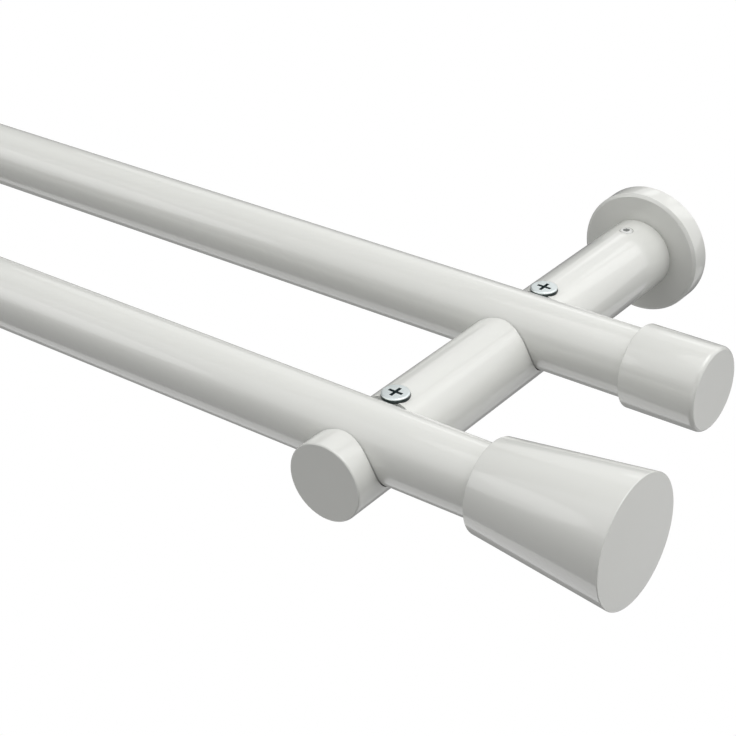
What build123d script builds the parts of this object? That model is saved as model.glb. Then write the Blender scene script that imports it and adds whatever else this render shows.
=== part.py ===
from build123d import *
from math import sqrt
import os

os.makedirs("parts", exist_ok=True)

# A double curtain pole for a wall: two round poles, one behind the other, lie in saddles cut
# across two round bracket arms. Each arm ends at the wall in a flat round cover rose, and each
# pole ends in a finial, a cone on the front pole and a plain cap on the rear one.
# Millimetres. X runs along the poles, the wall is the plane Y = 0 and the poles stand out
# towards -Y, Z is up. The origin is on the wall, half way between the two arms' centre lines.

# Poles
pole_length = 1000.0
pole_diameter = 20.0
pole_wall = 1.0
rear_pole_distance = 75.0
pole_pitch = 71.0
pole_overhang = 60.0

# Bracket arms and their saddles
arm_diameter = 22.5
arm_nose = 17.0
arm_edge = 0.8
saddle_clearance = 0.3
saddle_step = 0.45
saddle_floor = 6.35

# Clamp screws, one behind each pole on each arm
clamp_head_diameter = 7.8
clamp_head_height = 1.5
clamp_head_edge = 0.4
clamp_head_proud = 0.65
clamp_thread_diameter = 4.0
clamp_thread_length = 11.0
clamp_gap = 0.75
clamp_wall = 0.5
recess_span = 4.4
recess_width = 0.95
recess_depth = 1.1
recess_taper = 8.0
pocket_clearance = 0.15

# Cover roses
rose_diameter = 39.0
rose_depth = 7.0
rose_face = 2.0
rose_rim = 2.2
rose_edge = 0.9

# Wall plates, each with a riveted boss that carries the arm
plate_thickness = 3.0
plate_clearance = 0.4
boss_diameter = 14.0
boss_reach = 24.0
boss_lead = 1.0
boss_clearance = 0.15
rivet_diameter = 8.0
rivet_flare = 0.8
wall_screw_hole = 4.4
wall_screw_head = 8.2
countersink_angle = 90.0
drill_point = 4.0

# Grub screws that lock the arms to their bosses
grub_diameter = 4.0
grub_proud = 0.15
grub_socket = 2.0
grub_socket_depth = 1.8
grub_setback = 8.5
grub_neck_depth = 0.6
grub_neck_margin = 0.4

# Finials and the set screws under them
finial_grip = 20.3
finial_clearance = 0.15
end_clearance = 0.3
cap_diameter = 24.0
cap_end_wall = 2.0
cap_edge = 1.5
cone_small_diameter = 25.75
cone_large_diameter = 35.0
cone_nose = 19.9
finial_edge = 0.3
set_screw_diameter = 3.0
set_screw_socket = 1.5
set_screw_socket_depth = 1.1
set_screw_setback = 9.0

# Clearances that the screws share
thread_clearance = 0.1
tip_gap = 0.1
screw_edge = 0.35

# Sizes that follow from the ones above
pole_radius = pole_diameter / 2
arm_radius = arm_diameter / 2
rose_radius = rose_diameter / 2
boss_radius = boss_diameter / 2
rivet_radius = rivet_diameter / 2
front_pole_distance = rear_pole_distance + pole_pitch
pole_distances = {"front": front_pole_distance, "rear": rear_pole_distance}
arm_reach = front_pole_distance + arm_nose
saddle_radius = pole_radius + saddle_clearance
pole_height = saddle_floor + saddle_radius - arm_radius
bracket_reach = pole_length / 2 - pole_overhang

# The clamp screw stands where the lower rim of its head is one gap away from the pole's flank,
# or further back where its hole would otherwise break into the saddle. A head that lies above
# the pole's crown is clear of it anywhere.
clamp_head_radius = clamp_head_diameter / 2
clamp_hole_radius = clamp_thread_diameter / 2 + thread_clearance
clamp_seat = arm_radius + clamp_head_proud - clamp_head_height
seat_rise = min(clamp_seat - pole_height, pole_radius + clamp_gap)
head_offset = clamp_head_radius + sqrt((pole_radius + clamp_gap) ** 2 - seat_rise**2)
hole_offset = clamp_hole_radius + clamp_wall + saddle_step + saddle_radius
clamp_offset = max(head_offset, hole_offset)

# The wall screws are half way between the boss and the plate's edge
plate_radius = rose_radius - rose_rim - plate_clearance
wall_screw_offset = (boss_radius + plate_radius) / 2

# The finials start at one distance from the arm, so that both pole ends are covered alike
finial_start = pole_overhang - finial_grip
socket_radius = pole_radius + finial_clearance
socket_end = pole_overhang + end_clearance
cap_end = socket_end + cap_end_wall
cone_end = socket_end + cone_nose


def save(builder, label):
    """Name a finished piece and write it as a file of the same name."""
    builder.part.label = label
    export_step(builder.part, f"parts/{label}.step")


def build_pole(distance):
    """A drawn tube that lies along X at this distance from the wall."""
    with BuildPart() as pole:
        with BuildSketch(Plane.YZ.offset(-pole_length / 2)):
            with Locations((-distance, pole_height)):
                Circle(pole_radius)
                Circle(pole_radius - pole_wall, mode=Mode.SUBTRACT)
        extrude(amount=pole_length)
    return pole


def build_arm(x):
    """A turned bar, bored for the boss, with two saddles milled across it and its screw holes."""
    bore_radius = boss_radius + boss_clearance
    bore_end = rose_depth + boss_reach + boss_clearance
    with BuildPart() as arm:
        with BuildSketch(Plane((x, 0, 0))):
            with BuildLine():
                Polyline(
                    (bore_radius, -rose_depth),
                    (arm_radius, -rose_depth),
                    (arm_radius, -arm_reach),
                    (0, -arm_reach),
                    (0, -bore_end - drill_point),
                    (bore_radius, -bore_end),
                    close=True,
                )
            make_face()
        revolve(axis=Axis((x, 0, 0), (0, 1, 0)))
        outer_edges = arm.edges().filter_by(GeomType.CIRCLE).group_by(SortBy.RADIUS)[-1]
        fillet(outer_edges, radius=arm_edge)
        # Each saddle is round in front, under the pole, and straight up one step further behind it
        with BuildSketch(Plane.YZ.offset(x)):
            for distance in pole_distances.values():
                with Locations((saddle_step / 2 - distance, pole_height)):
                    SlotCenterToCenter(saddle_step, 2 * saddle_radius)
                with Locations((-distance, pole_height)):
                    Rectangle(saddle_radius + saddle_step, arm_radius, align=(Align.MIN, Align.MIN))
        extrude(amount=arm_radius, both=True, mode=Mode.SUBTRACT)
        # A flat pocket and a tapped hole for each clamp screw
        clamp_places = [(x, clamp_offset - distance, arm_radius) for distance in pole_distances.values()]
        with Locations(*clamp_places):
            CounterBoreHole(
                radius=clamp_hole_radius,
                counter_bore_radius=clamp_head_radius + pocket_clearance,
                counter_bore_depth=arm_radius - clamp_seat,
                depth=arm_radius - clamp_seat + clamp_thread_length + clamp_thread_diameter / 2,
            )
        # The grub screw's hole runs down into the bore
        with Locations((x, -rose_depth - grub_setback, arm_radius)):
            Hole(radius=grub_diameter / 2 + thread_clearance, depth=arm_radius)
    return arm


def build_rose(x):
    """A turned cover, open towards the wall, that slips over the boss and that the arm holds there."""
    hole_radius = boss_radius + boss_clearance
    with BuildPart() as rose:
        with BuildSketch(Plane((x, 0, 0))):
            with BuildLine():
                Polyline(
                    (hole_radius, -rose_depth),
                    (rose_radius, -rose_depth),
                    (rose_radius, 0),
                    (rose_radius - rose_rim, 0),
                    (rose_radius - rose_rim, -rose_depth + rose_face),
                    (hole_radius, -rose_depth + rose_face),
                    close=True,
                )
            make_face()
        revolve(axis=Axis((x, 0, 0), (0, 1, 0)))
        front_edges = rose.edges().filter_by(GeomType.CIRCLE).group_by(Axis.Y)[0]
        chamfer(front_edges.sort_by(SortBy.RADIUS)[-1], length=rose_edge)
    return rose


def build_plate(x):
    """A punched disc with two countersunk wall screw holes and a countersunk rivet hole."""
    with BuildPart() as plate:
        with BuildSketch(Plane.XZ):
            with Locations((x, 0)):
                Circle(plate_radius)
        extrude(amount=plate_thickness)
        front = Plane((x, -plate_thickness, 0), x_dir=(1, 0, 0), z_dir=(0, -1, 0))
        with Locations(front):
            with Locations((0, wall_screw_offset), (0, -wall_screw_offset)):
                CounterSinkHole(
                    radius=wall_screw_hole / 2,
                    counter_sink_radius=wall_screw_head / 2,
                    depth=plate_thickness,
                    counter_sink_angle=countersink_angle,
                )
        back = Plane((x, 0, 0), x_dir=(1, 0, 0), z_dir=(0, 1, 0))
        with Locations(back):
            CounterSinkHole(
                radius=rivet_radius + tip_gap,
                counter_sink_radius=rivet_radius + rivet_flare + tip_gap,
                depth=plate_thickness,
                counter_sink_angle=countersink_angle,
            )
    return plate


def build_boss(x):
    """A turned steel boss, riveted through the plate, with a neck where the grub screw bears."""
    boss_end = rose_depth + boss_reach
    grub_distance = rose_depth + grub_setback
    neck_half = grub_diameter / 2 + grub_neck_margin
    neck_radius = boss_radius - grub_neck_depth
    with BuildPart() as boss:
        with BuildSketch(Plane((x, 0, 0))):
            with BuildLine():
                Polyline(
                    (0, 0),
                    (rivet_radius + rivet_flare, 0),
                    (rivet_radius, -rivet_flare),
                    (rivet_radius, -plate_thickness),
                    (boss_radius, -plate_thickness),
                    (boss_radius, -grub_distance + neck_half),
                    (neck_radius, -grub_distance + neck_half - grub_neck_depth),
                    (neck_radius, -grub_distance - neck_half + grub_neck_depth),
                    (boss_radius, -grub_distance - neck_half),
                    (boss_radius, -boss_end + boss_lead),
                    (boss_radius - boss_lead, -boss_end),
                    (0, -boss_end),
                    close=True,
                )
            make_face()
        revolve(axis=Axis((x, 0, 0), (0, 1, 0)))
    return boss


def build_clamp_screw(x, distance):
    """A cross-recessed screw with a thin round head that overhangs the saddle and keeps the pole in it."""
    thread_radius = clamp_thread_diameter / 2
    place = Plane((x, clamp_offset - distance, clamp_seat))
    with BuildPart() as screw:
        with BuildSketch(place):
            Circle(clamp_head_radius)
        extrude(amount=clamp_head_height)
        fillet(screw.edges().group_by(Axis.Z)[-1], radius=clamp_head_edge)
        with BuildSketch(place):
            Circle(thread_radius)
        extrude(amount=-clamp_thread_length)
        chamfer(screw.edges().group_by(Axis.Z)[0], length=screw_edge)
        with BuildSketch(place.offset(clamp_head_height)):
            Rectangle(recess_span, recess_width)
            Rectangle(recess_width, recess_span)
        extrude(amount=-recess_depth, taper=recess_taper, mode=Mode.SUBTRACT)
    return screw


def build_set_screw(face, diameter, length, socket, socket_depth):
    """A headless screw whose outer end lies on the given plane, with a hexagonal socket."""
    with BuildPart() as screw:
        with BuildSketch(face):
            Circle(diameter / 2)
        extrude(amount=-length)
        chamfer(screw.edges().filter_by(GeomType.CIRCLE), length=screw_edge)
        with BuildSketch(face):
            RegularPolygon(socket / 2, side_count=6, major_radius=False)
        extrude(amount=-socket_depth, mode=Mode.SUBTRACT)
    return screw


def build_grub_screw(x):
    """The screw that stands just proud of the arm's crown and bears on the boss's neck."""
    top = arm_radius + grub_proud
    face = Plane((x, -rose_depth - grub_setback, top))
    length = top - (boss_radius - grub_neck_depth) - tip_gap
    return build_set_screw(face, grub_diameter, length, grub_socket, grub_socket_depth)


def cone_radius_at(reach):
    """The cone's outer radius at this distance from the arm's centre line."""
    share = (reach - finial_start) / (cone_end - finial_start)
    return (cone_small_diameter + share * (cone_large_diameter - cone_small_diameter)) / 2


def build_finial(side, distance, start_radius, end_radius, end, outer_edge):
    """A turned finial that slides over the pole's end and is drilled below for its set screw."""
    centre = (side * bracket_reach, -distance, pole_height)
    outward = Axis(centre, (side, 0, 0))
    screw_reach = finial_start + set_screw_setback
    with BuildPart() as finial:
        with BuildSketch(Plane(centre, x_dir=(side, 0, 0), z_dir=(0, -side, 0))):
            with BuildLine():
                Polyline(
                    (finial_start, socket_radius),
                    (finial_start, start_radius - finial_edge),
                    (finial_start + finial_edge, start_radius),
                    (end, end_radius),
                    (end, 0),
                    (socket_end, 0),
                    (socket_end, socket_radius),
                    close=True,
                )
            make_face()
        revolve(axis=outward)
        outer_rim = finial.edges().filter_by(GeomType.CIRCLE).sort_by(outward)[-1]
        fillet(outer_rim, radius=outer_edge)
        screw_axis = Plane((centre[0] + side * screw_reach, -distance, pole_height), z_dir=(0, 0, -1))
        with BuildSketch(screw_axis):
            Circle(set_screw_diameter / 2 + thread_clearance)
        extrude(amount=end_radius, mode=Mode.SUBTRACT)
    return finial


def build_finial_screw(side, distance, wall_radius):
    """The set screw under a finial, flush with its skin, that bears on the pole."""
    screw_radius = set_screw_diameter / 2
    reach = side * (bracket_reach + finial_start + set_screw_setback)
    drop = sqrt(wall_radius**2 - screw_radius**2)
    face = Plane((reach, -distance, pole_height - drop), z_dir=(0, 0, -1))
    length = drop - pole_radius - tip_gap
    return build_set_screw(face, set_screw_diameter, length, set_screw_socket, set_screw_socket_depth)


# The two poles
for place, distance in pole_distances.items():
    save(build_pole(distance), f"{place}_pole")

# Two brackets and the finials beyond them, the left one a mirror image of the right
for side, hand in ((-1, "left"), (1, "right")):
    x = side * bracket_reach
    save(build_arm(x), f"{hand}_bracket_arm")
    save(build_rose(x), f"{hand}_cover_rose")
    save(build_plate(x), f"{hand}_wall_plate")
    save(build_boss(x), f"{hand}_arm_boss")
    save(build_grub_screw(x), f"{hand}_arm_grub_screw")
    for place, distance in pole_distances.items():
        save(build_clamp_screw(x, distance), f"{hand}_{place}_clamp_screw")
    cone_start_radius = cone_small_diameter / 2
    cone_end_radius = cone_large_diameter / 2
    cone = build_finial(side, front_pole_distance, cone_start_radius, cone_end_radius, cone_end, finial_edge)
    save(cone, f"{hand}_cone_finial")
    cap_radius = cap_diameter / 2
    cap = build_finial(side, rear_pole_distance, cap_radius, cap_radius, cap_end, cap_edge)
    save(cap, f"{hand}_cap_finial")
    cone_wall_radius = cone_radius_at(finial_start + set_screw_setback - set_screw_diameter / 2)
    save(build_finial_screw(side, front_pole_distance, cone_wall_radius), f"{hand}_cone_set_screw")
    save(build_finial_screw(side, rear_pole_distance, cap_radius), f"{hand}_cap_set_screw")

print(f"arms {2 * bracket_reach:.1f} apart, reach {arm_reach:.1f}, poles {pole_height:.2f} above their axis")
print(f"wall screws {2 * wall_screw_offset:.1f} apart, clamp screws {clamp_offset:.2f} behind the poles")
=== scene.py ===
# %% [markdown]
# # A double curtain pole in Blender
# This lesson dresses a double curtain pole that was drawn as CAD solids. Two white lacquered poles
# lie one behind the other in two round bracket arms, and each pole ends in a finial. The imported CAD
# model gives the sizes and places. Blender adds smooth turned surfaces, small rounded edges, real
# screw threads, lacquer and zinc.

# %% The frame and the tools
from math import cos, radians, sin, sqrt, tan

import bmesh
import bpy
from mathutils import Matrix, Vector


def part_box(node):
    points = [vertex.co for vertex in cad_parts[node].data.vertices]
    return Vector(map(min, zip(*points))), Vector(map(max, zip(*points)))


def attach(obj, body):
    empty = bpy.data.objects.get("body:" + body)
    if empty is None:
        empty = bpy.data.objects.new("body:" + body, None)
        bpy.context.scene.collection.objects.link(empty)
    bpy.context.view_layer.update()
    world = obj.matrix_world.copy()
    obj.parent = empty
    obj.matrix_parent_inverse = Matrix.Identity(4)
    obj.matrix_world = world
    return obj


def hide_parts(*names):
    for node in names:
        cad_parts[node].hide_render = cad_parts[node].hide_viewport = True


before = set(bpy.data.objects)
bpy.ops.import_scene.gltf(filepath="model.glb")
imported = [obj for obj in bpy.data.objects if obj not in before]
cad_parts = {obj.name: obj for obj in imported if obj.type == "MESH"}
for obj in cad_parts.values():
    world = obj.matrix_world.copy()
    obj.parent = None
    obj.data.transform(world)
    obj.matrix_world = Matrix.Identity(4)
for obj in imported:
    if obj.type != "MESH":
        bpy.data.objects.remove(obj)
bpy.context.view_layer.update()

# %% [markdown]
# ## Sizes
# The work is done in millimetres and turned into metres at the end, because a hole of 4.2 is easier
# to think about than one of 0.0042. Sizes that a CAD node's box shows are read from it, so that the
# scene follows the model. Other sizes, such as a socket's depth, are repeated here.

# %% Sizes read from the frame
mm = 0.001


def box_of(node):
    """The lowest and highest corner of a CAD node, in millimetres."""
    low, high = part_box(node)
    return low / mm, high / mm


pole_low, pole_high = box_of("front_pole")
pole_radius = (pole_high.z - pole_low.z) / 2
pole_height = (pole_high.z + pole_low.z) / 2
pole_end = pole_high.x
rear_low, rear_high = box_of("rear_pole")
pole_distances = {
    "front": -(pole_low.y + pole_high.y) / 2,
    "rear": -(rear_low.y + rear_high.y) / 2,
}
arm_low, arm_high = box_of("right_bracket_arm")
arm_radius = (arm_high.x - arm_low.x) / 2
arm_x = (arm_high.x + arm_low.x) / 2
arm_start = -arm_high.y
arm_end = -arm_low.y
print(f"pole radius {pole_radius:.2f}, distances {pole_distances}, height {pole_height:.2f}")
print(f"arm radius {arm_radius:.2f} at x {arm_x:.1f}, {arm_start:.1f} to {arm_end:.1f} mm off the wall")

# %% [markdown]
# ## The camera
# The photograph looks down on the right-hand end with a long lens. A camera is a place, a direction
# and a focal length. Its direction is built from an azimuth, an elevation and a small roll, because
# these three are easy to read and to correct.

# %% The camera
image_side = 736
focal_pixels = 1773.1
sensor_width = 36.0
camera_azimuth = radians(38.75)
camera_elevation = radians(30.426)
camera_roll = radians(-1.956)
camera_place = Vector((arm_x + 241.876, -445.049, 251.365)) * mm


def add_camera():
    """Make the camera, turned by hand so that it keeps its slight roll."""
    data = bpy.data.cameras.new("studio_camera")
    data.sensor_width = sensor_width
    data.lens = focal_pixels * sensor_width / image_side
    back = Vector((
        sin(camera_azimuth) * cos(camera_elevation),
        -cos(camera_azimuth) * cos(camera_elevation),
        sin(camera_elevation),
    ))
    right = (-back).cross(Vector((0, 0, 1))).normalized()
    up = right.cross(-back)
    rolled_right = right * cos(camera_roll) + up * sin(camera_roll)
    rolled_up = up * cos(camera_roll) - right * sin(camera_roll)
    turn = Matrix((rolled_right, rolled_up, back)).transposed()
    camera = bpy.data.objects.new("studio_camera", data)
    camera.matrix_world = Matrix.Translation(camera_place) @ turn.to_4x4()
    bpy.context.scene.collection.objects.link(camera)
    bpy.context.scene.camera = camera
    return camera


camera = add_camera()
print(f"lens {camera.data.lens:.2f} mm on a {sensor_width:.0f} mm sensor")

# %% [markdown]
# ## Light and floor
# White lacquer only shows its shape through soft differences of light. A studio would hang large
# soft boxes far away. Here each one is a sun lamp with a wide angle, which lights a long object
# evenly from end to end. Two narrow ones behind the pole draw thin streaks in the gloss. The floor
# and the background are plain white for the camera alone, so that they neither brighten the
# undersides nor show in the gloss.

# %% The soft boxes
scene = bpy.context.scene
scene.view_settings.view_transform = "Standard"
# Each soft box has an azimuth, an elevation and a spread in degrees, and a strength.
soft_boxes = {
    "overhead": (90, 83, 60, 0.65),
    "right_high": (120, 70, 44, 0.66),
    "right_side": (118, 31, 90, 1.08),
    "right_front": (40, 7, 44, 0.22),
    "left_high": (-60, 52, 90, 0.43),
    "left_front_high": (-40, 45, 44, 0.21),
    "left_front_low": (-52, 26, 30, 0.18),
    "rear_left": (-157, 33, 44, 0.25),
    "rear_right": (170, 27, 30, 0.14),
    "rear_left_strip": (-155, 27, 10, 0.019),
    "rear_right_strip": (154, 41, 12, 0.016),
    "rear_low": (150, -50, 44, 0.19),
    "floor_bounce": (-66, -60, 36, 0.25),
    "floor_wide": (-90, -60, 100, 0.14),
}


def add_soft_box(name, azimuth, elevation, spread, strength):
    """A sun lamp whose light comes from this azimuth and elevation, in degrees."""
    data = bpy.data.lights.new(f"soft_box_{name}", "SUN")
    data.energy = strength
    data.angle = radians(spread)
    toward = Vector((
        sin(radians(azimuth)) * cos(radians(elevation)),
        -cos(radians(azimuth)) * cos(radians(elevation)),
        sin(radians(elevation)),
    ))
    lamp = bpy.data.objects.new(data.name, data)
    lamp.rotation_mode = "QUATERNION"
    lamp.rotation_quaternion = toward.to_track_quat("Z", "Y")
    scene.collection.objects.link(lamp)


for name, values in soft_boxes.items():
    add_soft_box(name, *values)
print("soft boxes:", len(soft_boxes))

# %% The room's own light, with a white background for the camera
plain_white = (1.0, 1.0, 1.0, 1.0)
room_light = 0.195
background_white = 1.0
world = bpy.data.worlds.new("studio_room")
scene.world = world
world.use_nodes = True
nodes, links = world.node_tree.nodes, world.node_tree.links
nodes.clear()
room = nodes.new("ShaderNodeBackground")
room.inputs["Color"].default_value = plain_white
room.inputs["Strength"].default_value = room_light
backdrop = nodes.new("ShaderNodeBackground")
backdrop.inputs["Color"].default_value = plain_white
backdrop.inputs["Strength"].default_value = background_white
ray = nodes.new("ShaderNodeLightPath")
choice = nodes.new("ShaderNodeMixShader")
output = nodes.new("ShaderNodeOutputWorld")
links.new(ray.outputs["Is Camera Ray"], choice.inputs["Fac"])
links.new(room.outputs[0], choice.inputs[1])
links.new(backdrop.outputs[0], choice.inputs[2])
links.new(choice.outputs[0], output.inputs["Surface"])
print("world nodes:", len(nodes))

# %% The floor
floor_drop = 450.0
floor_side = 20000.0


def add_floor():
    """A wide plain floor below the pole, seen by the camera only."""
    bm = bmesh.new()
    bmesh.ops.create_grid(bm, x_segments=1, y_segments=1, size=floor_side / 2 * mm)
    bmesh.ops.translate(bm, vec=(0, 0, -floor_drop * mm), verts=bm.verts)
    mesh = bpy.data.meshes.new("studio_floor")
    bm.to_mesh(mesh)
    bm.free()
    floor = bpy.data.objects.new("studio_floor", mesh)
    scene.collection.objects.link(floor)
    floor.visible_diffuse = False
    floor.visible_glossy = False
    floor.visible_shadow = False
    return floor


def white_floor_material():
    """A pale surface that is as bright as the background."""
    material = bpy.data.materials.new("white_floor")
    material.use_nodes = True
    nodes, links = material.node_tree.nodes, material.node_tree.links
    nodes.clear()
    glow = nodes.new("ShaderNodeEmission")
    glow.inputs["Strength"].default_value = background_white
    output = nodes.new("ShaderNodeOutputMaterial")
    links.new(glow.outputs[0], output.inputs["Surface"])
    return material


floor = add_floor()
floor.data.materials.append(white_floor_material())
print("floor", floor_drop, "mm below the arms' axes")

# %% [markdown]
# ## Node groups for the finishes
# Two effects are used by more than one finish, so each is a node group with named inputs and
# outputs. The first is the skin of a sprayed lacquer: long shallow waves called orange peel, and
# slight changes of gloss. The second is the skin of zinc plating: fine grain and patches of tone.

# %% Helpers that lay out nodes


def new_group(name, inputs, outputs):
    """An empty shader group with these sockets, and its input and output nodes."""
    group = bpy.data.node_groups.new(name, "ShaderNodeTree")
    for socket_name, kind, value in inputs:
        socket = group.interface.new_socket(socket_name, in_out="INPUT", socket_type=kind)
        socket.default_value = value
    for socket_name, kind in outputs:
        group.interface.new_socket(socket_name, in_out="OUTPUT", socket_type=kind)
    return group, group.nodes.new("NodeGroupInput"), group.nodes.new("NodeGroupOutput")


def noise(tree, vector, size_mm, detail, roughness=0.5):
    """A noise texture whose features are about this many millimetres across."""
    node = tree.nodes.new("ShaderNodeTexNoise")
    node.inputs["Scale"].default_value = 1 / (size_mm * mm)
    node.inputs["Detail"].default_value = detail
    node.inputs["Roughness"].default_value = roughness
    tree.links.new(vector, node.inputs["Vector"])
    return node.outputs["Fac"]


def calculate(tree, operation, *values):
    """A Math node. Each value is a socket or a number."""
    node = tree.nodes.new("ShaderNodeMath")
    node.operation = operation
    for socket, value in zip(node.inputs, values):
        if isinstance(value, (int, float)):
            socket.default_value = value
        else:
            tree.links.new(value, socket)
    return node.outputs[0]


def blend_colours(tree, factor, first, second):
    """Mix two plain colours by a factor that comes from a socket."""
    node = tree.nodes.new("ShaderNodeMix")
    node.data_type = "RGBA"
    factor_socket, *colour_sockets = [socket for socket in node.inputs if socket.enabled]
    tree.links.new(factor, factor_socket)
    for socket, colour in zip(colour_sockets, (first, second)):
        socket.default_value = (*colour, 1.0)
    return next(socket for socket in node.outputs if socket.enabled)


# %% The sprayed skin
skin_inputs = [
    ("Vector", "NodeSocketVector", (0, 0, 0)),
    ("Mean Roughness", "NodeSocketFloat", 0.3),
    ("Change", "NodeSocketFloat", 0.1),
]
skin_outputs = [
    ("Height", "NodeSocketFloat"),
    ("Roughness", "NodeSocketFloat"),
    ("Tone", "NodeSocketFloat"),
]
peel_size = 2.2
spray_grain_size = 0.35
spray_grain_share = 0.15
gloss_patch_size = 14.0
tone_patch_size = 45.0


def changing_roughness(group, given, patches):
    """The mean roughness, raised and lowered by the patches as far as the Change input says."""
    swing = calculate(group, "SUBTRACT", patches, 0.5)
    change = calculate(group, "MULTIPLY", swing, given.outputs["Change"])
    return calculate(group, "ADD", change, given.outputs["Mean Roughness"])


def sprayed_skin_group():
    """Waves, roughness and tone of sprayed lacquer, from Object coordinates."""
    group, given, result = new_group("sprayed_skin", skin_inputs, skin_outputs)
    place = given.outputs["Vector"]
    peel = noise(group, place, peel_size, detail=1.0)
    grain = noise(group, place, spray_grain_size, detail=2.0)
    height = calculate(group, "MULTIPLY_ADD", grain, spray_grain_share, peel)
    group.links.new(height, result.inputs["Height"])
    patches = noise(group, place, gloss_patch_size, detail=3.0)
    group.links.new(changing_roughness(group, given, patches), result.inputs["Roughness"])
    tone = noise(group, place, tone_patch_size, detail=2.0)
    group.links.new(tone, result.inputs["Tone"])
    return group


sprayed_skin = sprayed_skin_group()
print("group", sprayed_skin.name, "has", len(sprayed_skin.nodes), "nodes")

# %% The plated skin
plating_grain_size = 0.18
plating_patch_size = 2.5
plating_noise_roughness = 0.6


def plated_skin_group():
    """Grain, roughness and tone of zinc plating, from Object coordinates."""
    group, given, result = new_group("plated_skin", skin_inputs, skin_outputs)
    place = given.outputs["Vector"]
    roughness = plating_noise_roughness
    grain = noise(group, place, plating_grain_size, detail=3.0, roughness=roughness)
    group.links.new(grain, result.inputs["Height"])
    patches = noise(group, place, plating_patch_size, detail=4.0, roughness=roughness)
    group.links.new(changing_roughness(group, given, patches), result.inputs["Roughness"])
    group.links.new(patches, result.inputs["Tone"])
    return group


plated_skin = plated_skin_group()
print("group", plated_skin.name, "has", len(plated_skin.nodes), "nodes")

# %% [markdown]
# ## The finishes
# White lacquer is a matt white base under a clear glossy skin, so it needs a coat over a diffuse
# colour. The saddles' milled faces get a duller, greyer lacquer, a painted shade for the shade that
# falls in them behind the poles. Zinc is a metal, so its colour tints the reflection. Bright zinc
# plating has a cold blue tint. The walls of a cross recess get a dark painted shade, and the lower
# edge of a clamp screw's head gets a near-black painted shade for the shade in its pocket. The
# sockets of the painted screws get a grey painted shade. Values that don't change over the surface
# go straight on the shader's own sockets.

# %% The finishes
glossy_coat = (("Coat Weight", 1.0), ("Coat Roughness", 0.06), ("Coat IOR", 1.6))
bare_metal = (("Metallic", 1.0),)


def skinned_material(name, skin, pale, deep, roughness, change, wave_depth, constants=()):
    """A Principled material whose colour, roughness and bump follow a skin group."""
    material = bpy.data.materials.new(name)
    material.use_nodes = True
    tree = material.node_tree
    shader = tree.nodes["Principled BSDF"]
    place = tree.nodes.new("ShaderNodeTexCoord").outputs["Object"]
    surface = tree.nodes.new("ShaderNodeGroup")
    surface.node_tree = skin
    surface.inputs["Mean Roughness"].default_value = roughness
    surface.inputs["Change"].default_value = change
    tree.links.new(place, surface.inputs["Vector"])
    tree.links.new(surface.outputs["Roughness"], shader.inputs["Roughness"])
    colour = blend_colours(tree, surface.outputs["Tone"], deep, pale)
    tree.links.new(colour, shader.inputs["Base Color"])
    bump = tree.nodes.new("ShaderNodeBump")
    bump.inputs["Strength"].default_value = 1.0
    bump.inputs["Distance"].default_value = wave_depth * mm
    tree.links.new(surface.outputs["Height"], bump.inputs["Height"])
    tree.links.new(bump.outputs["Normal"], shader.inputs["Normal"])
    for socket_name, value in constants:
        shader.inputs[socket_name].default_value = value
    print(f"finish {name}: roughness {roughness}, relief {wave_depth} mm")
    return material


white_lacquer = skinned_material(
    "sprayed_white_lacquer", sprayed_skin, pale=(0.803, 0.808, 0.772), deep=(0.773, 0.778, 0.742),
    roughness=0.35, change=0.06, wave_depth=0.002, constants=glossy_coat,
)
white_screw_paint = skinned_material(
    "white_screw_paint", sprayed_skin, pale=(0.80, 0.81, 0.79), deep=(0.74, 0.75, 0.73),
    roughness=0.4, change=0.1, wave_depth=0.003,
)
# Painted shade: a duller, greyer lacquer on the saddles' milled faces, for the shade behind the poles.
saddle_painted_shade = skinned_material(
    "saddle_painted_shade", sprayed_skin, pale=(0.56, 0.565, 0.55), deep=(0.52, 0.525, 0.51),
    roughness=0.5, change=0.1, wave_depth=0.004,
)
bright_zinc = skinned_material(
    "bright_zinc", plated_skin, pale=(0.92, 0.97, 0.97), deep=(0.85, 0.92, 0.92),
    roughness=0.42, change=0.1, wave_depth=0.002, constants=bare_metal,
)
plate_zinc = skinned_material(
    "plate_zinc", plated_skin, pale=(0.74, 0.76, 0.77), deep=(0.56, 0.58, 0.60),
    roughness=0.4, change=0.25, wave_depth=0.004, constants=bare_metal,
)
# Painted shade: a near-black zinc on the lower edge of a clamp screw's head, for the shade in its
# pocket.
rim_painted_shade = skinned_material(
    "rim_painted_shade", plated_skin, pale=(0.10, 0.12, 0.12), deep=(0.03, 0.04, 0.04),
    roughness=0.35, change=0.1, wave_depth=0.002, constants=bare_metal,
)
# Painted shade: a dark colour on the walls of a cross recess, for the shade inside it.
recess_painted_shade = skinned_material(
    "recess_painted_shade", plated_skin, pale=(0.040, 0.066, 0.072), deep=(0.024, 0.042, 0.046),
    roughness=0.6, change=0.1, wave_depth=0.002,
)
# Painted shade: a grey on the walls of a painted screw's hex socket, for the shade inside it.
socket_painted_shade = skinned_material(
    "socket_painted_shade", plated_skin, pale=(0.62, 0.63, 0.62), deep=(0.56, 0.57, 0.56),
    roughness=0.6, change=0.1, wave_depth=0.002,
)

# %% [markdown]
# ## Tools of the turning shop
# Nearly every piece of this pole is turned on a lathe, so one helper does what a lathe does. It
# draws half of the outline beside an axis, rounds its corners, and spins it once round. A second
# helper cuts holes and saddles with a Boolean, as a mill would, and a third finishes a piece.

# %% The lathe
turn_steps = 192
corner_segments = 5
end_segments = 6
axis_x = Vector((1, 0, 0))
axis_y = Vector((0, 1, 0))
axis_z = Vector((0, 0, 1))
same_place = 0.0005
print(f"a full turn takes {turn_steps} steps of {360 / turn_steps} degrees")


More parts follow.
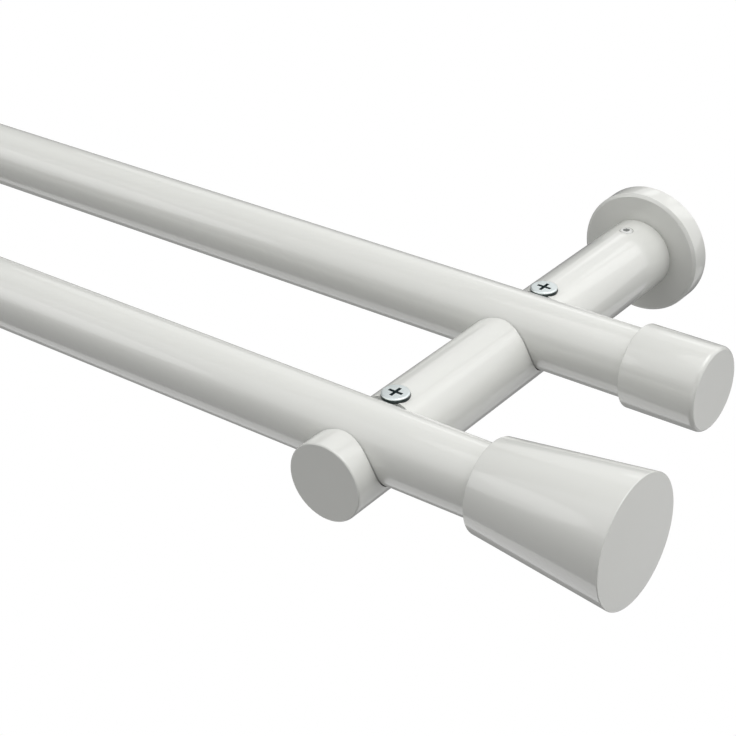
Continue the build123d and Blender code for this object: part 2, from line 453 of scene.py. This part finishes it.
def turned(outline, centre, axis, steps=turn_steps):
    """Spin an outline of (distance along the axis, radius, corner rounding) points once round.

    An outline that ends on the axis at both ends makes a solid, any other one makes a ring.
    """
    bm = bmesh.new()
    outward = axis_x if abs(axis.z) > 0.5 else axis_z
    corners = [bm.verts.new(centre + axis * point[0] + outward * point[1]) for point in outline]
    is_ring = outline[0][1] > 0
    following = corners[1:] + corners[:1] if is_ring else corners[1:]
    for first, second in zip(corners, following):
        bm.edges.new((first, second))
    for corner, point in zip(corners, outline):
        if len(point) > 2:
            bmesh.ops.bevel(
                bm, geom=[corner], offset=point[2], offset_type="OFFSET",
                segments=corner_segments, profile=0.5, affect="VERTICES", material=-1,
            )
    bmesh.ops.spin(
        bm, geom=bm.verts[:] + bm.edges[:], cent=centre, axis=axis,
        angle=radians(360), steps=steps, use_merge=True,
    )
    bmesh.ops.remove_doubles(bm, verts=bm.verts, dist=same_place)
    bmesh.ops.recalc_face_normals(bm, faces=bm.faces)
    return bm


def rounded_end(end, inward, radius, inset, sweep):
    """The outline of a flat end face with a crisp rim, and the round from it to the side.

    The round turns through this sweep in degrees, and takes this inset off the face's radius.
    """
    round_radius = inset / (1 - cos(radians(sweep)))
    outline = [(end, 0)]
    for step in range(end_segments + 1):
        angle = radians(sweep) * (1 - step / end_segments)
        depth = round_radius * (sin(radians(sweep)) - sin(angle))
        outline.append((end + inward * depth, radius - round_radius * (1 - cos(angle))))
    return outline


# %% The mill and the finishing bench
crease_angle = 30
print("edges stay sharp above", crease_angle, "degrees")


def as_object(bm, name):
    """Put a bmesh into an object of its own."""
    mesh = bpy.data.meshes.new(name)
    bm.to_mesh(mesh)
    bm.free()
    piece = bpy.data.objects.new(name, mesh)
    scene.collection.objects.link(piece)
    return piece


def combine(piece, tool, operation="DIFFERENCE"):
    """Cut the tool out of the piece, or join it on, and throw the tool away."""
    boolean = piece.modifiers.new("combine", "BOOLEAN")
    boolean.operation = operation
    boolean.solver = "EXACT"
    boolean.object = tool
    depsgraph = bpy.context.evaluated_depsgraph_get()
    result = bpy.data.meshes.new_from_object(piece.evaluated_get(depsgraph))
    piece.modifiers.clear()
    before = piece.data
    piece.data = result
    result.name = piece.name
    for mesh in (before, tool.data):
        bpy.data.meshes.remove(mesh)
    return piece


def finished(piece, node, finish):
    """Turn millimetres into metres, smooth the curved faces and stand in for the CAD node."""
    bm = bmesh.new()
    bm.from_mesh(piece.data)
    bmesh.ops.remove_doubles(bm, verts=bm.verts, dist=same_place)
    bmesh.ops.dissolve_degenerate(bm, edges=bm.edges, dist=same_place)
    bmesh.ops.scale(bm, vec=(mm, mm, mm), verts=bm.verts)
    open_edges = sum(not edge.is_manifold for edge in bm.edges)
    bm.to_mesh(piece.data)
    bm.free()
    piece.data.shade_smooth()
    piece.data.set_sharp_from_angle(angle=radians(crease_angle))
    piece.data.materials.clear()
    piece.data.materials.append(finish)
    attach(piece, "root")
    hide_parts(node)
    print(f"{piece.name}: {len(piece.data.polygons)} faces, {open_edges} open edges")


def paint_shade_on(piece, top, outward, depths, reaches, finish):
    """Give the finish, a painted shade, to faces at these depths below the top and these reaches from
    the axis.

    The top, the depths and the reaches are in millimetres. Each pair is a lowest and a highest value.
    """
    shade_index = len(piece.data.materials)
    piece.data.materials.append(finish)
    for face in piece.data.polygons:
        away = face.center / mm - top
        depth = -away.dot(outward)
        reach = (away + outward * depth).length
        if depths[0] < depth < depths[1] and reaches[0] < reach < reaches[1]:
            face.material_index = shade_index


# %% [markdown]
# ## The poles
# Each pole is a drawn steel tube, 1 mm thick, that reaches into the finials at both ends. A tube is
# a ring-shaped outline turned round its axis, and its four edges are rounded a little where the
# saw's burr was taken off.

# %% The poles
pole_wall = 1.0
saw_edge = 0.15

for place, distance in pole_distances.items():
    tube = turned(
        [
            (-pole_end, pole_radius, saw_edge),
            (pole_end, pole_radius, saw_edge),
            (pole_end, pole_radius - pole_wall, saw_edge),
            (-pole_end, pole_radius - pole_wall, saw_edge),
        ],
        Vector((0, -distance, pole_height)), axis_x,
    )
    finished(as_object(tube, f"{place}_pole_tube"), f"{place}_pole", white_lacquer)

# %% [markdown]
# ## The bracket arms
# An arm is a turned bar with a bore at the wall end and a flat nose. Two saddles are milled across
# it for the poles, each round in front and straight up at the back. Behind each saddle a round
# pocket takes the clamp screw's head, and near the wall a small hole takes the grub screw. The bar
# is turned and then cut, in the order that the workshop would use. The milled faces are found again
# by their distance from the poles' axes, and get painted shade: a duller, greyer lacquer for the
# shade behind the poles.

# %% The cutters for an arm
clamp_low, clamp_high = box_of("right_rear_clamp_screw")
grub_low, grub_high = box_of("right_arm_grub_screw")
clamp_thread_length = 11.0
clamp_offset = (clamp_low.y + clamp_high.y) / 2 + pole_distances["rear"]
clamp_seat = clamp_low.z + clamp_thread_length
clamp_head_radius = (clamp_high.x - clamp_low.x) / 2
clamp_thread_radius = 2.0
grub_place = (grub_low.y + grub_high.y) / 2
grub_radius = (grub_high.x - grub_low.x) / 2
saddle_clearance = 0.3
saddle_step = 0.45
pocket_clearance = 0.15
thread_clearance = 0.1
cutter_margin = 3.0
above_arm = arm_radius + cutter_margin
saddle_steps = 144
drill_steps = 96
drill_slope = 31
print(f"clamp head radius {clamp_head_radius:.2f}, {clamp_offset:.2f} mm behind the pole's axis")


def saddle_cutter(x, distance):
    """A long block, round in front and below and one step wider at its straight back."""
    radius = pole_radius + saddle_clearance
    half_length = 2 * arm_radius
    centre = Vector((x - half_length, -distance, pole_height))
    bm = bmesh.new()
    start = bm.verts.new(centre + axis_y * radius)
    bmesh.ops.spin(
        bm, geom=[start], cent=centre, axis=axis_x, angle=radians(-270),
        steps=saddle_steps, use_merge=False,
    )
    ends = [vert for vert in bm.verts if len(vert.link_edges) == 1]
    top = max(ends, key=lambda vert: vert.co.z)
    back = min(ends, key=lambda vert: vert.co.z)
    rear_half = [vert for vert in bm.verts if vert.co.y > centre.y + same_place and vert is not top]
    bmesh.ops.translate(bm, vec=axis_y * saddle_step, verts=rear_half)
    front_corner = bm.verts.new(centre + axis_z * above_arm)
    rear_corner = bm.verts.new(centre + axis_z * above_arm + axis_y * (radius + saddle_step))
    for first, second in ((top, front_corner), (front_corner, rear_corner), (rear_corner, back)):
        bm.edges.new((first, second))
    bmesh.ops.contextual_create(bm, geom=bm.edges[:])
    block = bmesh.ops.extrude_face_region(bm, geom=bm.faces[:])
    moved = [item for item in block["geom"] if isinstance(item, bmesh.types.BMVert)]
    bmesh.ops.translate(bm, vec=(2 * half_length, 0, 0), verts=moved)
    bmesh.ops.recalc_face_normals(bm, faces=bm.faces)
    return as_object(bm, "saddle_cutter")


def clamp_cutter(x, distance):
    """A stepped drill for the screw's head and thread, with a pointed end."""
    hole_radius = clamp_thread_radius + thread_clearance
    hole_end = -clamp_thread_length - clamp_thread_radius
    outline = [
        (above_arm - clamp_seat, 0),
        (above_arm - clamp_seat, clamp_head_radius + pocket_clearance),
        (0, clamp_head_radius + pocket_clearance),
        (0, hole_radius),
        (hole_end, hole_radius),
        (hole_end - hole_radius * tan(radians(drill_slope)), 0),
    ]
    place = Vector((x, clamp_offset - distance, clamp_seat))
    return as_object(turned(outline, place, axis_z, drill_steps), "clamp_cutter")


def grub_cutter(x):
    """A plain drill from above the arm's crown down into its bore."""
    hole_radius = grub_radius + thread_clearance
    outline = [(above_arm, 0), (above_arm, hole_radius), (0, hole_radius), (0, 0)]
    return as_object(turned(outline, Vector((x, grub_place, 0)), axis_z, drill_steps), "grub_cutter")


def paint_saddle_shade(arm):
    """Paint shade on the milled faces of both saddles, as a duller, greyer lacquer."""
    close_by = 0.01
    reach = pole_radius + saddle_clearance + saddle_step
    saddle_shade_index = len(arm.data.materials)
    arm.data.materials.append(saddle_painted_shade)
    for face in arm.data.polygons:
        for distance in pole_distances.values():
            axis_place = Vector((0, -distance, pole_height))
            corners = [arm.data.vertices[index].co / mm - axis_place for index in face.vertices]
            on_round = all(corner.yz.length < reach + close_by for corner in corners)
            on_back = all(abs(corner.y - reach) < close_by for corner in corners)
            if on_round or on_back:
                face.material_index = saddle_shade_index


# %% The arms
boss_low, boss_high = box_of("right_arm_boss")
boss_clearance = 0.15
boss_radius = (boss_high.x - boss_low.x) / 2
boss_end = -boss_low.y
bore_radius = boss_radius + boss_clearance
bore_end = boss_end + boss_clearance
drill_point = 4.0
arm_edge = 0.8
nose_inset = 0.35
end_sweep = 65

for side, hand in ((-1, "left"), (1, "right")):
    x = side * arm_x
    bar = turned(
        [
            *rounded_end(-arm_end, 1, arm_radius, nose_inset, end_sweep),
            (-arm_start, arm_radius, arm_edge),
            (-arm_start, bore_radius),
            (-bore_end, bore_radius),
            (-bore_end - drill_point, 0),
        ],
        Vector((x, 0, 0)), axis_y,
    )
    arm = as_object(bar, f"{hand}_arm_bar")
    for distance in pole_distances.values():
        combine(arm, saddle_cutter(x, distance))
        combine(arm, clamp_cutter(x, distance))
    combine(arm, grub_cutter(x))
    finished(arm, f"{hand}_bracket_arm", white_lacquer)
    # The milled faces of the saddles get a grey painted shade.
    paint_saddle_shade(arm)

# %% [markdown]
# ## The cover roses
# A rose is a shallow round cup that hides the wall plate. Its front edge is a narrow chamfer, and a
# bright line of light runs along the chamfer's outer corner in the photograph.

# %% The cover roses
rose_low, rose_high = box_of("right_cover_rose")
rose_radius = (rose_high.x - rose_low.x) / 2
rose_depth = rose_high.y - rose_low.y
rose_face = 2.0
rose_rim = 2.2
rose_edge = 0.9
rose_corner = 0.12
rose_back_edge = 0.15
rose_inner_edge = 0.3

for side, hand in ((-1, "left"), (1, "right")):
    cup = turned(
        [
            (-rose_depth, bore_radius),
            (-rose_depth, rose_radius - rose_edge, rose_corner),
            (-rose_depth + rose_edge, rose_radius, rose_corner),
            (0, rose_radius, rose_back_edge),
            (0, rose_radius - rose_rim, rose_back_edge),
            (-rose_depth + rose_face, rose_radius - rose_rim, rose_inner_edge),
            (-rose_depth + rose_face, bore_radius),
        ],
        Vector((side * arm_x, 0, 0)), axis_y,
    )
    finished(as_object(cup, f"{hand}_rose_cup"), f"{hand}_cover_rose", white_lacquer)

# %% [markdown]
# ## The finials
# Both finials slip over the pole's end and are drilled from below for a set screw. The front one is
# a cone that opens outwards and the rear one is a plain cap. The cap's side is clearly rounded up
# to the crisp rim of its face, and the cone's edges are nearly sharp.

# %% The finials
cone_low, cone_high = box_of("right_cone_finial")
cap_low, cap_high = box_of("right_cap_finial")
set_screw_low, set_screw_high = box_of("right_cap_set_screw")
finial_start = cone_low.x - arm_x
cone_end = cone_high.x - arm_x
cone_small_radius = 12.875
cone_large_radius = 17.5
cap_end = cap_high.x - arm_x
cap_radius = (cap_high.z - cap_low.z) / 2
socket_radius = 10.15
socket_clearance = 0.3
socket_end = pole_end - arm_x + socket_clearance
finial_edge = 0.3
socket_edge = 0.1
finial_drill_steps = 64
cap_inset = 0.85
set_screw_reach = (set_screw_high.x + set_screw_low.x) / 2 - arm_x
set_screw_radius = (set_screw_high.x - set_screw_low.x) / 2


def finial_screw_cutter(side, distance):
    """A drill from below that stops inside the finial's socket."""
    hole_radius = set_screw_radius + thread_clearance
    drill_length = 2 * cone_large_radius
    outline = [(0, 0), (0, hole_radius), (drill_length, hole_radius), (drill_length, 0)]
    place = Vector((side * (arm_x + set_screw_reach), -distance, pole_height))
    return as_object(turned(outline, place, -axis_z, finial_drill_steps), "finial_screw_cutter")


def add_finial(hand, side, kind, place, start_radius, end_outline):
    """Turn a finial with its blind socket, and drill it. The end outline starts on the axis."""
    distance = pole_distances[place]
    centre = Vector((side * arm_x, -distance, pole_height))
    body = turned(
        [
            *end_outline,
            (finial_start, start_radius, finial_edge),
            (finial_start, socket_radius, socket_edge),
            (socket_end, socket_radius),
            (socket_end, 0),
        ],
        centre, side * axis_x,
    )
    finial = combine(as_object(body, f"{hand}_{kind}_turned"), finial_screw_cutter(side, distance))
    finished(finial, f"{hand}_{kind}_finial", white_lacquer)


cap_outline = rounded_end(cap_end, -1, cap_radius, cap_inset, end_sweep)
cone_outline = [(cone_end, 0), (cone_end, cone_large_radius, finial_edge)]
for side, hand in ((-1, "left"), (1, "right")):
    add_finial(hand, side, "cone", "front", cone_small_radius, cone_outline)
    add_finial(hand, side, "cap", "rear", cap_radius, cap_outline)

# %% [markdown]
# ## Screw threads
# A thread is a zigzag line that is turned once round while it climbs by one pitch. The start of
# each turn then meets the end of the one before it, and merging the doubles closes the surface. Two
# flat cuts square off its ends. The thread's depth and the places of its flats are shares of the
# pitch, as in every metric thread.

# %% A threaded rod
thread_steps = 36
thread_depth = 0.55
root_end = 0.25
crest_start = 0.56
crest_end = 0.69
spare_turns = 2
print(f"a thread turns in {thread_steps} steps and is {thread_depth} pitches deep")


def threaded_rod(radius, pitch, low, high, place):
    """A thread from low to high, measured along Z from the place."""
    root = radius - thread_depth * pitch
    turns = int((high - low) / pitch) + 2 * spare_turns
    bm = bmesh.new()
    line = []
    for turn in range(turns):
        for rise, reach in ((0, root), (root_end, root), (crest_start, radius), (crest_end, radius)):
            line.append(bm.verts.new((reach, 0, low + (turn + rise - spare_turns) * pitch)))
    for first, second in zip(line, line[1:]):
        bm.edges.new((first, second))
    bmesh.ops.spin(
        bm, geom=bm.verts[:] + bm.edges[:], cent=(0, 0, 0), axis=axis_z,
        dvec=(0, 0, pitch / thread_steps), angle=radians(360), steps=thread_steps, use_merge=False,
    )
    bmesh.ops.remove_doubles(bm, verts=bm.verts, dist=same_place)
    for height, direction in ((low, -axis_z), (high, axis_z)):
        cut = bmesh.ops.bisect_plane(
            bm, geom=bm.verts[:] + bm.edges[:] + bm.faces[:],
            plane_co=(0, 0, height), plane_no=direction, clear_outer=True,
        )
        rim = [item for item in cut["geom_cut"] if isinstance(item, bmesh.types.BMEdge)]
        bmesh.ops.edgeloop_fill(bm, edges=rim)
    bmesh.ops.translate(bm, vec=place, verts=bm.verts)
    bmesh.ops.recalc_face_normals(bm, faces=bm.faces)
    return as_object(bm, "threaded_rod")


# %% [markdown]
# ## The clamp screws
# A thin round head with a cross recess lies in the shallow pocket behind each pole. Its rim reaches
# out over the saddle, so the pole can't lift out. The recess is cut by two tapered bars that cross,
# and the thread runs down into the arm. A short plain neck joins the head to the thread.

# %% The clamp screws
clamp_head_height = clamp_high.z - clamp_seat
clamp_head_edge = 0.4
# The head's side is split this far below its top, and the painted shade covers the side below it.
clamp_head_band = 0.42
clamp_seat_edge = 0.15
rim_margin = 0.2
neck_relief = 0.25
neck_length = 1.0
thread_start = 0.6
head_steps = 128
recess_span = 4.4
recess_width = 0.95
recess_depth = 1.1
recess_taper = 8.0
clamp_pitch = 0.7
cutter_lift = 0.5


def recess_cutter(place, span, width):
    """A tapered bar, of this span and width at the recess's mouth, that stands out above it."""
    bm = bmesh.new()
    bmesh.ops.create_cube(bm, size=1.0)
    low_corners = [vert for vert in bm.verts if vert.co.z < 0]
    high_corners = [vert for vert in bm.verts if vert.co.z > 0]
    for corners, height in ((low_corners, -recess_depth), (high_corners, cutter_lift)):
        growth = 2 * height * tan(radians(recess_taper))
        bmesh.ops.scale(bm, vec=(span + growth, width + growth, 0), verts=corners)
        bmesh.ops.translate(bm, vec=place + axis_z * height, verts=corners)
    return as_object(bm, "recess_cutter")


def add_clamp_screw(hand, side, place):
    """Turn the head, press in the recess and join on the thread."""
    seat = Vector((side * arm_x, clamp_offset - pole_distances[place], clamp_seat))
    head = turned(
        [
            (clamp_head_height, 0),
            (clamp_head_height, clamp_head_radius, clamp_head_edge),
            (clamp_head_height - clamp_head_band, clamp_head_radius),
            (0, clamp_head_radius, clamp_seat_edge),
            (0, clamp_thread_radius - neck_relief),
            (-neck_length, clamp_thread_radius - neck_relief),
            (-neck_length, 0),
        ],
        seat, axis_z, head_steps,
    )
    screw = as_object(head, f"{hand}_{place}_clamp_threaded")
    top = seat + axis_z * clamp_head_height
    combine(screw, recess_cutter(top, recess_span, recess_width))
    combine(screw, recess_cutter(top, recess_width, recess_span))
    rod = threaded_rod(clamp_thread_radius, clamp_pitch, -clamp_thread_length, -thread_start, seat)
    combine(screw, rod, "UNION")
    finished(screw, f"{hand}_{place}_clamp_screw", bright_zinc)
    # The walls of the cross recess get a dark painted shade.
    recess_walls = (same_place, recess_depth + same_place)
    paint_shade_on(screw, top, axis_z, recess_walls, (0, recess_span / 2), recess_painted_shade)
    # The head's side below the band gets a near-black painted shade, for the shade in the pocket.
    rim = (clamp_head_radius - rim_margin, clamp_head_radius + rim_margin)
    paint_shade_on(screw, top, axis_z, (clamp_head_band, clamp_head_height), rim, rim_painted_shade)


for side, hand in ((-1, "left"), (1, "right")):
    for place in pole_distances:
        add_clamp_screw(hand, side, place)

# %% [markdown]
# ## The grub screws and the set screws
# These are headless screws with a hexagonal socket. The grub screw stands just proud of the arm's
# crown, with a wide chamfer round its face, and the set screws sit flush under the finials. One
# helper makes both, standing up or hanging down.

# %% The headless screws
grub_chamfer = 0.6
set_screw_chamfer = 0.35
screw_tip = 0.1
grub_socket = 2.0
grub_socket_depth = 1.8
grub_pitch = 0.7
set_screw_socket = 1.5
set_screw_socket_depth = 1.1
set_screw_pitch = 0.5
core_depth = 0.5
half_corner = radians(30)


def hexagon_reach(across_flats):
    """How far a hexagon's corners are from its centre."""
    return across_flats / 2 / cos(half_corner)


def hexagon_cutter(across_flats, depth):
    """A six-sided bar that reaches this deep below the origin and stands out above it."""
    reach = hexagon_reach(across_flats)
    bm = bmesh.new()
    bmesh.ops.create_cone(
        bm, cap_ends=True, segments=6, radius1=reach, radius2=reach, depth=depth + cutter_lift,
    )
    turn = Matrix.Rotation(half_corner, 3, "Z")
    bmesh.ops.rotate(bm, cent=(0, 0, 0), matrix=turn, verts=bm.verts)
    bmesh.ops.translate(bm, vec=(0, 0, (cutter_lift - depth) / 2), verts=bm.verts)
    return as_object(bm, "hexagon_cutter")


def add_headless_screw(name, node, face, down, radius, chamfer, pitch, length, socket, socket_depth):
    """A threaded rod with a flat top at the face, cut by its socket."""
    origin = Vector((0, 0, 0))
    core = radius - core_depth * pitch
    blank = turned(
        [
            (0, 0),
            (0, radius, chamfer),
            (-2 * chamfer, radius),
            (-2 * chamfer, core),
            (-length + 2 * chamfer, core),
            (-length, core - chamfer),
            (-length, 0),
        ],
        origin, axis_z, drill_steps,
    )
    screw = as_object(blank, name)
    rod = threaded_rod(radius, pitch, -length + chamfer, -chamfer, origin)
    combine(screw, rod, "UNION")
    combine(screw, hexagon_cutter(socket, socket_depth))
    turn = Matrix.Rotation(radians(180), 4, "X") if down else Matrix.Identity(4)
    screw.data.transform(Matrix.Translation(face) @ turn)
    finished(screw, node, white_screw_paint)
    # The socket's walls get a grey painted shade.
    outward = -axis_z if down else axis_z
    socket_walls = (same_place, socket_depth + same_place)
    paint_shade_on(screw, face, outward, socket_walls, (0, hexagon_reach(socket)), socket_painted_shade)


def cone_radius_at(reach):
    """The cone's outer radius at this distance from the arm's centre line."""
    share = (reach - finial_start) / (cone_end - finial_start)
    return cone_small_radius + share * (cone_large_radius - cone_small_radius)


def add_set_screw(hand, side, kind, place, wall_radius):
    """A set screw that is flush with the finial's underside."""
    drop = sqrt(wall_radius**2 - set_screw_radius**2)
    face = Vector((side * (arm_x + set_screw_reach), -pole_distances[place], pole_height - drop))
    length = drop - pole_radius - screw_tip
    add_headless_screw(
        f"{hand}_{kind}_set_threaded", f"{hand}_{kind}_set_screw", face, True,
        set_screw_radius, set_screw_chamfer, set_screw_pitch, length, set_screw_socket,
        set_screw_socket_depth,
    )


neck_radius = 6.4
grub_top = grub_high.z
grub_length = grub_top - neck_radius - screw_tip
for side, hand in ((-1, "left"), (1, "right")):
    face = Vector((side * arm_x, grub_place, grub_top))
    add_headless_screw(
        f"{hand}_grub_threaded", f"{hand}_arm_grub_screw", face, False,
        grub_radius, grub_chamfer, grub_pitch, grub_length, grub_socket, grub_socket_depth,
    )
    add_set_screw(hand, side, "cone", "front", cone_radius_at(set_screw_reach - set_screw_radius))
    add_set_screw(hand, side, "cap", "rear", cap_radius)

# %% [markdown]
# ## The wall plates and their bosses
# These are seen only from behind. The plate is punched, so its front edge is rounded by the punch
# and its back edge is crisp, and its two screw holes are countersunk. The boss is turned, with a
# neck for the grub screw, and its end is riveted over in the plate's back.

# %% The wall plates
plate_low, plate_high = box_of("right_wall_plate")
plate_radius = (plate_high.x - plate_low.x) / 2
plate_thickness = plate_high.y - plate_low.y
rivet_radius = 4.0
rivet_flare = 0.8
wall_hole_radius = 2.2
wall_head_radius = 4.1
wall_screw_offset = (boss_radius + plate_radius) / 2
rivet_clearance = 0.1
punched_edge = 0.5
plate_back_edge = 0.1


def wall_hole_cutter(x, z):
    """A drill with a 90 degree countersink, from the plate's front and out past its back."""
    past = 1.0
    sink_depth = wall_head_radius - wall_hole_radius
    outline = [
        (-plate_thickness - past, 0),
        (-plate_thickness - past, wall_head_radius + past),
        (-plate_thickness + sink_depth, wall_hole_radius),
        (past, wall_hole_radius),
        (past, 0),
    ]
    return as_object(turned(outline, Vector((x, 0, z)), axis_y, drill_steps), "wall_hole_cutter")


for side, hand in ((-1, "left"), (1, "right")):
    x = side * arm_x
    disc = turned(
        [
            (0, rivet_radius + rivet_flare + rivet_clearance),
            (-rivet_flare, rivet_radius + rivet_clearance),
            (-plate_thickness, rivet_radius + rivet_clearance),
            (-plate_thickness, plate_radius, punched_edge),
            (0, plate_radius, plate_back_edge),
        ],
        Vector((x, 0, 0)), axis_y,
    )
    plate = as_object(disc, f"{hand}_plate_punched")
    for z in (-wall_screw_offset, wall_screw_offset):
        combine(plate, wall_hole_cutter(x, z))
    finished(plate, f"{hand}_wall_plate", plate_zinc)

# %% The bosses
neck_half = 2.4
neck_depth = boss_radius - neck_radius
punch_mark = 0.5
rivet_edge = 0.15
shoulder_edge = 0.2
boss_chamfer = 1.0

for side, hand in ((-1, "left"), (1, "right")):
    post = turned(
        [
            (-punch_mark, 0),
            (0, 2 * punch_mark),
            (0, rivet_radius + rivet_flare, rivet_edge),
            (-rivet_flare, rivet_radius),
            (-plate_thickness, rivet_radius),
            (-plate_thickness, boss_radius, shoulder_edge),
            (grub_place + neck_half, boss_radius),
            (grub_place + neck_half - neck_depth, neck_radius),
            (grub_place - neck_half + neck_depth, neck_radius),
            (grub_place - neck_half, boss_radius),
            (-boss_end + boss_chamfer, boss_radius),
            (-boss_end, boss_radius - boss_chamfer),
            (-boss_end, 0),
        ],
        Vector((side * arm_x, 0, 0)), axis_y,
    )
    finished(as_object(post, f"{hand}_boss_turned"), f"{hand}_arm_boss", plate_zinc)
